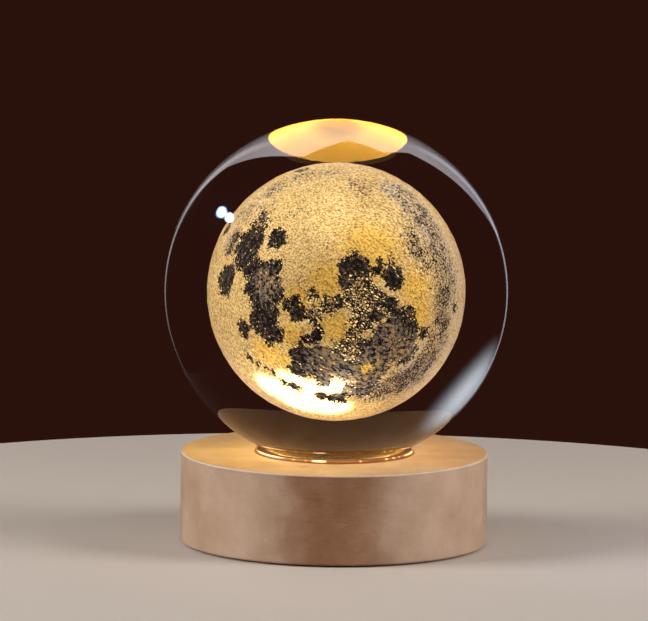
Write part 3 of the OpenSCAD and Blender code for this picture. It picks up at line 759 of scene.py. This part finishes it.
@dataclass
class EngravedMoon:
    """The moon engraved in the ball: dense points over the highlands and sparse points over the seas."""

    front_lat: float = 0.6
    front_lon: float = -13.2
    roll: float = -154.0
    lat_steps: int = 240
    lon_steps: int = 400
    # how much closer together the near side's points are than the far side's
    near_detail: float = 0.4
    sea_depth: float = 0.25 * MM
    land_depth: float = 0.12 * MM
    relief: float = 0.05 * MM
    skin: float = 0.02 * MM
    coast_width: float = 1.3
    # degrees by which every coast stands further out than its patches, to make up for its wandering
    coast_shift: float = 0.9
    # size in degrees, seed and reach in degrees of each of the coast's wanderings
    wandering: tuple[tuple[float, int, float], ...] = ((7, 11, 1.5), (3.2, 12, 1.4), (1.5, 13, 1.3))
    # painted light from the lamp below: over the whole moon, more on its top, in a halo round the lights, and
    # white-hot over them
    body_light: float = 0.73
    top_light: float = 0.62
    halo: float = 1.0
    white_hot: float = 11.0
    body: str = "ball"

    def turn(self) -> np.ndarray:
        """Works out the rotation from the moon's map to the ball, in the order that the CAD turns it.

        Returns:
            A 3 by 3 matrix.
        """
        turn = Matrix.Identity(3)
        for degrees, axis in ((self.roll, "Y"), (-90, "Z"), (self.front_lat, "Y"), (-self.front_lon, "Z")):
            turn = turn @ Matrix.Rotation(math.radians(degrees), 3, axis)
        return np.array(turn)

    def map_points(self) -> tuple[np.ndarray, Faces]:
        """Lays out the map's points, with the near side's closer together.

        Returns:
            The points as unit vectors, and the faces.
        """
        share = np.arange(self.lon_steps) / self.lon_steps
        lon = 360 * share - np.degrees(self.near_detail * np.sin(2 * math.pi * share))
        return globe(np.linspace(-90, 90, self.lat_steps + 1)[1:-1], lon)

    def depth_at_sea(self, points: np.ndarray) -> np.ndarray:
        """Measures how far out at sea each point is, from a coast that wanders at several scales.

        Args:
            points: The map's points.

        Returns:
            Degrees inside the nearest coast, positive at sea.
        """
        nearest = np.full(len(points), -90.0)
        for p in (p for sea in SEAS.values() for p in sea):
            nearest = np.maximum(nearest, p.radius - degrees_from(direction(p.lat, p.lon), points))
        return nearest + self.coast_shift + sum(
            value_noise(points, math.radians(cell), seed) * reach for cell, seed, reach in self.wandering)

    def splash(self, points: np.ndarray) -> np.ndarray:
        """Works out the ray splashes, each a bright middle with uneven streaks out of it.

        Args:
            points: The map's points.

        Returns:
            Brightness of each point, from 0 to 1.
        """
        total = np.zeros(len(points))
        for k, p in enumerate(RAY_SPLASHES):
            middle = direction(p.lat, p.lon)
            east = np.cross([0, 0, 1], middle)
            north = np.cross(middle, east)
            away = degrees_from(middle, points)
            heading = np.stack([points @ east, points @ north, 0 * away], axis=-1)
            heading /= np.maximum(np.linalg.norm(heading, axis=-1, keepdims=True), 1e-6)
            streak = value_noise(heading, 0.22, 40 + k) * 0.55 + value_noise(heading, 0.08, 60 + k) * 0.45
            reach = np.maximum(p.radius * (1 + 0.7 * streak), 1)
            total = np.maximum(total, smooth_step(1.1, 0.45, away / reach))
        return total

    def strength_of(self, marks: tuple[Patch, ...], points: np.ndarray) -> np.ndarray:
        """Works out how strong some patches are at each point.

        Args:
            marks: The patches.
            points: The map's points.

        Returns:
            A patch's own strength in its middle, and 0 clear of them all.
        """
        total = np.zeros(len(points))
        for p in marks:
            away = degrees_from(direction(p.lat, p.lon), points)
            total = np.maximum(total, p.weight * smooth_step(p.radius * 1.4, p.radius * 0.4, away))
        return total

    def glow(self, directions: np.ndarray) -> tuple[np.ndarray, np.ndarray]:
        """Works out the painted brightness from the lights below, which the points give out as emission.

        Args:
            directions: Which way each point of the moon faces.

        Returns:
            The light over the whole body, and the hot light low in front, which only close points take up.
        """
        nearest = np.full(len(directions), 90.0)
        for x, y, z, reach in HOT_SPOTS:
            toward = np.array((x, y, z)) / math.hypot(x, y, z)
            nearest = np.minimum(nearest, degrees_from(toward, directions) - reach)
        body = self.body_light + self.top_light * smooth_step(0.15, 0.85, directions[:, 2])
        return (body + self.halo * smooth_step(27.0, 0.0, nearest),
                self.white_hot * smooth_step(3.5, -3.0, nearest))

    def values(self, points: np.ndarray, directions: np.ndarray, at_sea: np.ndarray) -> dict[str, np.ndarray]:
        """Works out the values that the engraving's finish reads.

        Args:
            points: The map's points.
            directions: Which way each of them faces in the ball.
            at_sea: Degrees that each is out at sea.

        Returns:
            The values of all points, by name.
        """
        thin_land, painted_limb_sheen = self.strength_of(THIN_LAND, points), self.strength_of(PAINTED_LIMB_SHEEN, points)
        # 1 well inland or in a ray splash, and 0 well out at sea
        cover = np.maximum(1 - smooth_step(-self.coast_width, self.coast_width, at_sea), self.splash(points))
        # share of stray points at sea: most near a coast and round the ray splashes
        near = 0.40 * np.exp(-np.maximum(at_sea, 0) / 1.6) + 0.40 * self.strength_of(SPECKLED_SEA, points)
        specks = 0.09 + near + 0.10 * value_noise(points, 0.07, 23)
        # how thinly the highlands are engraved, uneven at two scales
        thin = (thin_land * (0.85 + 0.4 * value_noise(points, math.radians(4.5), 24))
                + 0.22 * value_noise(points, math.radians(11), 21) + 0.16 * value_noise(points, 0.05, 22))
        # the painted limb sheen also brightens the light there
        bright = (0.30 * self.strength_of(BRIGHT_LAND, points) - 0.26 * self.strength_of(DULL_LAND, points)
                  + 0.85 * painted_limb_sheen + 0.12 * value_noise(points, math.radians(22), 25) + 0.30 * thin_land)
        light, hot = self.glow(directions)
        gold = 0.4 + 0.6 * self.strength_of(PAINTED_GOLD_LIGHT, points) - 0.3 * painted_limb_sheen - 0.25 * thin_land
        return {"cover": np.clip(cover, 0, 1), "specks": np.clip(specks, 0, 1), "thin": np.clip(thin, 0, 1),
                "faint": self.strength_of(FAINT_SEA, points), "light": light * (1 + bright), "hot": hot,
                "gold": gold}

    def build(self) -> list[bpy.types.Object]:
        """Makes the highlands and the seas as two pieces of one relief, and dresses them.

        Returns:
            The two pieces.
        """
        low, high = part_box("moon_highlands")
        sea_low, sea_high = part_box("moon_seas")
        points, faces = self.map_points()
        at_sea = self.depth_at_sea(points)
        share = smooth_step(-self.coast_width, self.coast_width, at_sea)
        distance = ((high - low).z / 2 - self.skin - self.land_depth - self.sea_depth * share
                    + value_noise(points, math.radians(3), 31) * self.relief)
        directions = points @ self.turn().T
        placed = directions * distance[:, None] + np.array((sea_low + sea_high) / 2)
        values = self.values(points, directions, at_sea)
        wet = share > 0.5
        pieces = []
        for name, node, slot, density, is_sea in (
                ("engraved_highlands", "moon_highlands", "engraving", Density.DENSE, False),
                ("engraved_seas", "moon_seas", "dark_engraving", Density.SPARSE, True)):
            mine = [f for f in faces if (sum(wet[v] for v in f) * 2 > len(f)) == is_sea]
            used = sorted({v for f in mine for v in f})
            number = {v: i for i, v in enumerate(used)}
            piece = new_object(name, placed[used], [[number[v] for v in f] for f in mine],
                               EngravedPoints(density).material())
            for key, data in values.items():
                set_values(piece, key, data[used])
            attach(piece, self.body)
            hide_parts(node)
            pieces.append(piece)
        return pieces


# ---------------------------------------------------------------- the base


@dataclass(frozen=True)
class Bore:
    """One round hole to cut in the wood: its radius, where it starts, and how far it runs."""

    radius: float
    start: Vector
    run: Vector


@dataclass
class WoodenBase:
    """The turned base with its stepped well, its hollow and its bored holes."""

    ring_pocket_r: float = 18.5 * MM
    ring_depth: float = 3.6 * MM
    window_pocket_r: float = 16.3 * MM
    window_t: float = 1.5 * MM
    light_hole_r: float = 13.6 * MM
    ledge_t: float = 2.0 * MM
    hollow_r: float = 25.5 * MM
    cover_t: float = 2.0 * MM
    cover_pocket_r: float = 31.0 * MM
    top_chamfer: float = 0.3 * MM
    bottom_chamfer: float = 0.4 * MM
    jack_z: float = 7.0 * MM
    # radius, distance from the axis and run, in millimetres, of the jack's bore, recess and flat spot
    jack_bores: tuple[tuple[float, ...], ...] = ((3.15, 18, 20), (4.65, 33.91, 4), (4.9, 20.5, 4.93))
    # pitch radius, radius and depth, in millimetres, of the board's and the cover's pilot holes
    pilots: tuple[tuple[float, ...], ...] = ((21.2, 1.0, 3.3), (28.3, 1.2, 6.5))
    segments: int = 360
    bore_sides: int = 64
    edge: float = 0.08 * MM
    body: str = "base"

    def bores(self, roof_z: float, cover_top: float) -> list[Bore]:
        """Lists the holes: the jack's three along the rear wall, and the pilots for both sets of screws.

        Args:
            roof_z: Height of the hollow's roof.
            cover_top: Height of the step that the cover lies against.

        Returns:
            The holes.
        """
        holes = [Bore(radius * MM, Vector((0, start * MM, self.jack_z)), Vector((0, run * MM, 0)))
                 for radius, start, run in self.jack_bores]
        for (pitch, radius, depth), start in zip(self.pilots, (roof_z, cover_top)):
            for turn in (math.radians(angle) for angle in (30, 150, 270)):
                place = Vector((math.cos(turn) * pitch * MM, math.sin(turn) * pitch * MM, start - 0.01 * MM))
                holes.append(Bore(radius * MM, place, Vector((0, 0, depth * MM))))
        return holes

    def build(self) -> bpy.types.Object:
        """Turns the base and bores it, inside the CAD base's own box.

        Returns:
            The base.
        """
        low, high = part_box("wooden_base")
        outer, top, foot = high.x, high.z, low.z
        ring_z = top - self.ring_depth
        window_z = ring_z - self.window_t
        roof_z, cover_top = window_z - self.ledge_t, foot + self.cover_t
        profile = [
            (self.light_hole_r, roof_z), (self.hollow_r, roof_z), (self.hollow_r, cover_top),
            (self.cover_pocket_r, cover_top), (self.cover_pocket_r, foot),
            (outer - self.bottom_chamfer, foot), (outer, foot + self.bottom_chamfer),
            (outer, top - self.top_chamfer), (outer - self.top_chamfer, top), (self.ring_pocket_r, top),
            (self.ring_pocket_r, ring_z), (self.window_pocket_r, ring_z),
            (self.window_pocket_r, window_z), (self.light_hole_r, window_z)]
        points, faces = lathe(rounded(profile, self.edge, 3), self.segments)
        beech = TurnedBeech(edge_from=outer + top - self.top_chamfer - 0.05 * MM, top=top)
        piece = new_object("turned_wooden_base", points, faces, beech.material())
        self.cut(piece, self.bores(roof_z, cover_top))
        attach(piece, self.body)
        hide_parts("wooden_base")
        return piece

    def cut(self, piece: bpy.types.Object, bores: list[Bore]) -> None:
        """Cuts the holes out of the turned blank and keeps its flats flat in the shading.

        Args:
            piece: The blank.
            bores: The holes.
        """
        cutters = []
        for hole in bores:
            turn = Vector((0, 0, 1)).rotation_difference(hole.run.normalized())
            points, faces = drum(hole.radius, 0, hole.run.length, self.bore_sides)
            placed = [turn @ p + hole.start for p in points]
            cutter = new_object("cutter", placed, faces, piece.data.materials[0])
            cutters.append(cutter)
            step = piece.modifiers.new("bore", "BOOLEAN")
            step.operation, step.solver, step.object = "DIFFERENCE", "EXACT", cutter
        piece.data.set_sharp_from_angle(angle=math.radians(40))
        piece.modifiers.new("weighted", "WEIGHTED_NORMAL").keep_sharp = True
        bpy.context.view_layer.update()
        done = bpy.data.meshes.new_from_object(piece.evaluated_get(bpy.context.evaluated_depsgraph_get()))
        piece.modifiers.clear()
        piece.data = done
        for cutter in cutters:
            bpy.data.objects.remove(cutter)


@dataclass
class SeatRing:
    """The clear ring round the hole, which carries the ball and glows from below."""

    segments: int = 720
    bore_r: float = 14.8 * MM
    crest_r: float = 16.0 * MM
    slope: float = 0.417
    bevel: float = 0.5 * MM
    edge: float = 0.15 * MM
    glint_width: float = 0.16 * MM
    # where glints stand on the rim: angle from the front and half width in degrees, and strength
    glints: tuple[tuple[float, float, float], ...] = (
        (-59, 22, 0.9), (-31.3, 2, 0.6), (-21.3, 1.2, 0.5), (-11.3, 6, 1.3), (19.7, 1.2, 0.7), (42, 1.8, 0.8),
        (49.5, 1.9, 0.7), (56.2, 1.2, 0.6), (74, 13, 0.8), (128, 16, 0.7), (-150, 20, 0.7), (176, 4, 0.6))
    body: str = "base"

    def build(self) -> bpy.types.Object:
        """Makes the ring from the CAD ring's own reach and heights.

        Returns:
            The ring.
        """
        low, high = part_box("seat_ring")
        outer, drop = high.x, (self.crest_r - self.bore_r) * self.slope
        profile = [(self.bore_r, low.z), (outer, low.z), (outer, high.z - self.bevel),
                   (outer - self.bevel, high.z), (self.crest_r, high.z), (self.bore_r, high.z - drop)]
        points, faces = lathe(rounded(profile, self.edge), self.segments)
        piece = new_object("lit_seat_ring", points, faces, LitAcrylic().material())
        turn = np.degrees(np.arctan2(points[:, 0], -points[:, 1]))
        reach = np.hypot(points[:, 0], points[:, 1])
        # painted light: a glow line along the rim's bevel with painted glints on it, and a faint painted glow
        # on the outer wall
        on_rim = np.exp(-((reach - (outer - self.bevel * 0.7)) / self.glint_width) ** 2)
        on_rim = on_rim * (points[:, 2] > high.z - self.bevel * 0.9)
        on_wall = 0.06 * (reach > outer - 0.05 * MM)
        glint = 0.17 + 0.08 * value_noise(points, 2.5 * MM, 31)
        for angle, half, strength in self.glints:
            glint = np.maximum(glint, strength * smooth_step(half * 1.2, half * 0.5, np.abs(turn - angle)))
        set_values(piece, "glint", np.maximum(glint * on_rim, on_wall))
        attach(piece, self.body)
        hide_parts("seat_ring")
        return piece


def dress_nodes(finishes: dict[str, object]) -> list[bpy.types.Object]:
    """Gives CAD nodes their finishes, on every face.

    Args:
        finishes: The finish of each node by name.

    Returns:
        The dressed objects.
    """
    made = {finish: finish.material() for finish in dict.fromkeys(finishes.values())}
    pieces = []
    for name, finish in finishes.items():
        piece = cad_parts[name]
        piece.data.materials.clear()
        piece.data.materials.append(made[finish])
        pieces.append(piece)
    return pieces


@dataclass
class LightEngine:
    """The window, the reflector, the board and what it carries."""

    def dress(self) -> list[bpy.types.Object]:
        """Gives each CAD piece its finish.

        Returns:
            The dressed pieces.
        """
        return dress_nodes({
            "light_window": FrostedAcrylic(),
            "reflector": MouldedPlastic("white_moulded_abs", "#ECEBE6", "#DEDCD4", 0.55),
            "light_board": MouldedPlastic("white_solder_mask", "#EFEFE9", "#E2E1D8", 0.35),
            "light_packages": MouldedPlastic("white_light_package", "#F2F2EC", "#E6E4DA", 0.4),
            "light_phosphors": LitPhosphor(),
            "resistors": MouldedPlastic("black_glazed_chip", "#17171A", "#222226", 0.3),
            "red_wire": MouldedPlastic("red_vinyl_insulation", "#A3140E", "#8C120D", 0.35),
            "black_wire": MouldedPlastic("black_vinyl_insulation", "#141414", "#1E1E1E", 0.35),
            "solder_joints": PlatedMetal("bright_solder", "#C9CACC", "#A9AAAD", 0.25),
            "board_screws": PlatedMetal("zinc_plated_steel", "#C4C6C9", "#A2A5AA", 0.32)})


@dataclass
class PowerJack:
    """The power jack in the rear wall."""

    def dress(self) -> list[bpy.types.Object]:
        """Gives each CAD piece its finish.

        Returns:
            The dressed pieces.
        """
        brass = PlatedMetal("nickel_plated_brass", "#CFC39A", "#B3A377", 0.28)
        steel = PlatedMetal("nickel_plated_steel", "#C6C7C6", "#A8A9A6", 0.3)
        return dress_nodes({
            "power_jack": MouldedPlastic("black_moulded_nylon", "#121213", "#1C1C1E", 0.42),
            "jack_pin": brass, "jack_contact": brass, "jack_washer": steel, "jack_nut": steel})


@dataclass
class Underside:
    """The bottom cover, its screws and the feet."""

    def dress(self) -> list[bpy.types.Object]:
        """Gives each CAD piece its finish.

        Returns:
            The dressed pieces.
        """
        return dress_nodes({
            "bottom_cover": MouldedPlastic("black_textured_polypropylene", "#151515", "#202020", 0.6,
                                           1.49, 0.7, 0.05),
            "rubber_feet": MouldedPlastic("black_soft_rubber", "#1B1B1B", "#272727", 0.75, 1.52, 0.5, 0.03),
            "cover_screws": PlatedMetal("zinc_plated_screw_steel", "#C4C6C9", "#A2A5AA", 0.32)})


# ---------------------------------------------------------------- the studio


class Shown(Enum):
    """How a light shows in the glass."""

    NOWHERE = "nowhere"
    MIRRORED = "mirrored"
    THROUGH = "through"


@dataclass(frozen=True)
class SoftBox:
    """A soft area light: where it stands round the lamp in degrees and metres, its size, power and colour."""

    name: str
    azimuth: float
    elevation: float
    distance: float
    width: float
    height: float
    power: float
    colour: str
    shown: Shown = Shown.NOWHERE
    roll: float = 0.0


@dataclass(frozen=True)
class WarmDisc:
    """A round level light of the lamp's own: its place from the ball's middle and its radius in mm."""

    name: str
    place: tuple[float, float, float]
    radius: float
    power: float
    colour: str


@dataclass(frozen=True)
class Fade:
    """How a light's brightness changes outwards, by distance from its middle where its edge is at 0.5."""

    start: float
    end: float
    first: float
    last: float


@dataclass
class Studio:
    """The pale floor, the soft lights, the dark surroundings and the camera."""

    picture: tuple[int, int] = (648, 621)
    ball_centre_px: tuple[float, float] = (336.0, 291.5)
    px_per_mm: float = 4.325
    elevation: float = 8.8
    roll: float = 0.65
    distance: float = 5.0
    sensor: float = 36.0
    floor_radius: float = 160 * MM
    floor_t: float = 6 * MM
    surroundings: str = "#2A120C"
    boxes: tuple[SoftBox, ...] = (
        SoftBox("left_soft_box", -76, 22, 0.7, 0.35, 0.35, 4.2, "#FFF5EA"),
        SoftBox("right_soft_box", 74, 22, 0.7, 0.35, 0.35, 3.9, "#FFF5EC"),
        SoftBox("top_soft_box", 20, 78, 0.8, 0.5, 0.5, 0.62, "#FFF4E8"),
        SoftBox("first_spot", -112.6, 29.8, 0.8, 0.205, 0.084, 1.6, "#8FB4FF", Shown.MIRRORED, 19),
        SoftBox("second_spot", -101.6, 32.6, 0.8, 0.165, 0.078, 1.1, "#D6DCFF", Shown.MIRRORED, 13),
        SoftBox("left_rim_strip", -160, 12, 0.8, 0.16, 1.2, 0.16, "#C6C0BE", Shown.MIRRORED),
        SoftBox("right_rim_strip", 160, 4, 0.8, 0.16, 1.2, 0.15, "#BFC4CC", Shown.MIRRORED),
        SoftBox("pale_window", -121.0, 30.0, 0.8, 0.82, 0.66, 0.43, "#CFD6DB", Shown.THROUGH))
    spills: tuple[WarmDisc, ...] = (
        WarmDisc("seat_spill", (-18, -7, -20), 15, 0.0041, "#FFF6B1"),
        WarmDisc("seat_amber", (15, -2, -20), 13, 0.0027, "#FFCB50"))
    spill_spread: float = 150
    glow: WarmDisc = WarmDisc("seat_glow", (0, 0, -34.9), 19.2, 0.033, "#FFB53C")
    # frosted cloth over a lamp fades to its edges
    cloth: Fade = Fade(0.5, 0.05, 0.0, 4.0)
    # six lights stand in a ring, so the seat's glow is dimmer in its middle
    ring_of_lights: Fade = Fade(0.14, 0.28, 0.48, 1.15)
    # the outline in millimetres of the card that only the glass shows, with a broken edge to the rear
    card: tuple[tuple[float, float], ...] = (
        (-140, 60), (-76, 69), (-31, 71), (-24, 71), (-15, 81), (-3, 74), (11, 89), (17, 85), (27, 75),
        (44, 60), (67, 55), (99, 45), (140, 40), (140, 0), (80, -90), (-80, -90), (-140, 0))

    def camera(self, aim: Vector) -> None:
        """Stands the camera at the photograph's viewing angle and frames the ball as it does.

        Args:
            aim: The ball's middle.
        """
        tilt = math.radians(self.elevation)
        right, up = Vector((1, 0, 0)), Vector((0, math.sin(tilt), math.cos(tilt)))
        toward = Vector((0, -math.cos(tilt), math.sin(tilt)))
        across, down = ((size / 2 - centre) / self.px_per_mm * MM
                        for size, centre in zip(self.picture, self.ball_centre_px))
        lens = bpy.data.cameras.new("camera")
        lens.sensor_width = self.sensor
        lens.lens = self.sensor * self.distance / (self.picture[0] / self.px_per_mm * MM)
        lens.clip_start = 0.05
        camera = bpy.data.objects.new("camera", lens)
        camera.matrix_world = (Matrix.Translation(aim + right * across - up * down + toward * self.distance)
                               @ Matrix((right, up, toward)).transposed().to_4x4()
                               @ Matrix.Rotation(math.radians(self.roll), 4, "Z"))
        bpy.context.scene.collection.objects.link(camera)
        bpy.context.scene.camera = camera

    def feather(self, lamp: bpy.types.Light, fade: Fade) -> None:
        """Changes a light's brightness from its middle outwards.

        Args:
            lamp: The light.
            fade: The change.
        """
        g = Graph(lamp)
        away = g.add("VectorMath", {"operation": "DISTANCE"}, i0=g.add("NewGeometry")["Parametric"],
                     i1=(0.5, 0.5, 0.0))["Value"]
        share = g.add("MapRange", {"interpolation_type": "SMOOTHERSTEP"}, i0=away, i1=fade.start, i2=fade.end,
                      i3=fade.first, i4=fade.last)
        g.finish(g.add("Emission", Strength=share))

    def hang(self, lamp: bpy.types.Light, place: Vector, turn: Matrix) -> bpy.types.Object:
        """Hangs a light where nothing shows it.

        Args:
            lamp: The light.
            place: Its middle.
            turn: Its rotation. A light shines along its own -Z.

        Returns:
            The light's object.
        """
        holder = bpy.data.objects.new(lamp.name, lamp)
        holder.location, holder.rotation_euler = place, turn.to_euler()
        holder.visible_glossy = holder.visible_transmission = holder.visible_camera = False
        bpy.context.scene.collection.objects.link(holder)
        return holder

    def light(self, box: SoftBox, aim: Vector) -> None:
        """Stands one soft box round the lamp, facing it.

        Args:
            box: The soft box.
            aim: The ball's middle.
        """
        lamp = bpy.data.lights.new(box.name, "AREA")
        lamp.shape = "RECTANGLE" if box.shown is Shown.NOWHERE else "ELLIPSE"
        lamp.size, lamp.size_y, lamp.energy = box.width, box.height, box.power
        lamp.color = hex_colour(box.colour)[:3]
        if box.shown is not Shown.NOWHERE:
            self.feather(lamp, self.cloth)
        turn, rise = math.radians(box.azimuth), math.radians(box.elevation)
        out = Vector((math.sin(turn) * math.cos(rise), -math.cos(turn) * math.cos(rise), math.sin(rise)))
        spin = Matrix.Rotation(math.radians(box.roll), 4, "Z")
        facing = out.to_track_quat("Z", "Y").to_matrix().to_4x4() @ spin
        holder = self.hang(lamp, aim + out * box.distance, facing)
        holder.visible_glossy = box.shown is Shown.MIRRORED
        holder.visible_transmission = box.shown is Shown.THROUGH
        holder.visible_diffuse = box.shown is Shown.NOWHERE

    def warm_disc(self, disc: WarmDisc, aim: Vector, faces_up: bool) -> bpy.types.Object:
        """Hangs one of the lamp's own lights level in the glass.

        Args:
            disc: The light.
            aim: The ball's middle.
            faces_up: True where it shines up, false where it shines down.

        Returns:
            The light's object.
        """
        lamp = bpy.data.lights.new(disc.name, "AREA")
        lamp.shape = "DISK"
        lamp.size, lamp.energy = 2 * disc.radius * MM, disc.power
        lamp.color = hex_colour(disc.colour)[:3]
        turn = Matrix.Rotation(math.pi if faces_up else 0, 4, "X")
        return self.hang(lamp, aim + Vector(disc.place) * MM, turn)

    def warm_light(self, aim: Vector) -> bpy.types.Collection:
        """Adds the lamp's own light: down on the wood round the seat, and up into the glass.

        Args:
            aim: The ball's middle.

        Returns:
            What the light on the wood falls on, to be filled with the wood.
        """
        lit = bpy.data.collections.new("lit_by_the_seat")
        for disc in self.spills:
            spill = self.warm_disc(disc, aim, False)
            spill.data.spread = math.radians(self.spill_spread)
            # it lights the wood alike with the ball in place and lifted
            spill.data.cycles.use_multiple_importance_sampling = False
            spill.light_linking.receiver_collection = lit
        glow = self.warm_disc(self.glow, aim, True)
        self.feather(glow.data, self.ring_of_lights)
        glow.visible_glossy, glow.visible_diffuse = True, False
        return lit

    def floor(self) -> None:
        """Lays a round pale floor under the lamp."""
        points, faces = drum(self.floor_radius, -self.floor_t, 0, 128)
        piece = new_object("floor", points, faces, StudioCard().material())
        piece.data.polygons.foreach_set("use_smooth", [False] * len(piece.data.polygons))
        piece.visible_glossy = piece.visible_transmission = False

    def card_in_glass(self) -> None:
        """Lays a card that only the glass shows: pale behind the lamp and brown in front."""
        points = [(x * MM, y * MM, 0.2 * MM) for x, y in reversed(self.card)]
        finish = StudioCard("card_for_the_glass", "#7A6450", "#C4C1C9")
        piece = new_object("card_in_glass", points, [range(len(points))], finish.material())
        piece.visible_camera = piece.visible_glossy = piece.visible_diffuse = piece.visible_shadow = False

    def build(self) -> bpy.types.Collection:
        """Sets up the camera, the floor, the lights and the surroundings.

        Returns:
            What the light round the seat falls on, to be filled with the wood.
        """
        low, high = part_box("crystal_ball")
        middle = (low + high) / 2
        self.camera(middle)
        self.floor()
        self.card_in_glass()
        for box in self.boxes:
            self.light(box, middle)
        world = bpy.data.worlds.new("dark_surroundings")
        world.use_nodes = True
        world.node_tree.nodes["Background"].inputs["Color"].default_value = hex_colour(self.surroundings)
        bpy.context.scene.world = world
        bpy.context.scene.view_settings.view_transform = "Standard"
        return self.warm_light(middle)


def main() -> None:
    """Builds and dresses every sub-assembly in order."""
    logging.basicConfig(level=logging.INFO, format="%(name)s: %(message)s")
    lit_by_the_seat = Studio().build()
    wood = WoodenBase().build()
    lit_by_the_seat.objects.link(wood)
    pieces = [CrystalBall().build(), *EngravedMoon().build(), SeatRing().build(), wood,
              *LightEngine().dress(), *PowerJack().dress(), *Underside().dress()]
    for piece in pieces:
        LOG.info("%s: %d faces", piece.name, len(piece.data.polygons))


if __name__ == "__main__":
    main()
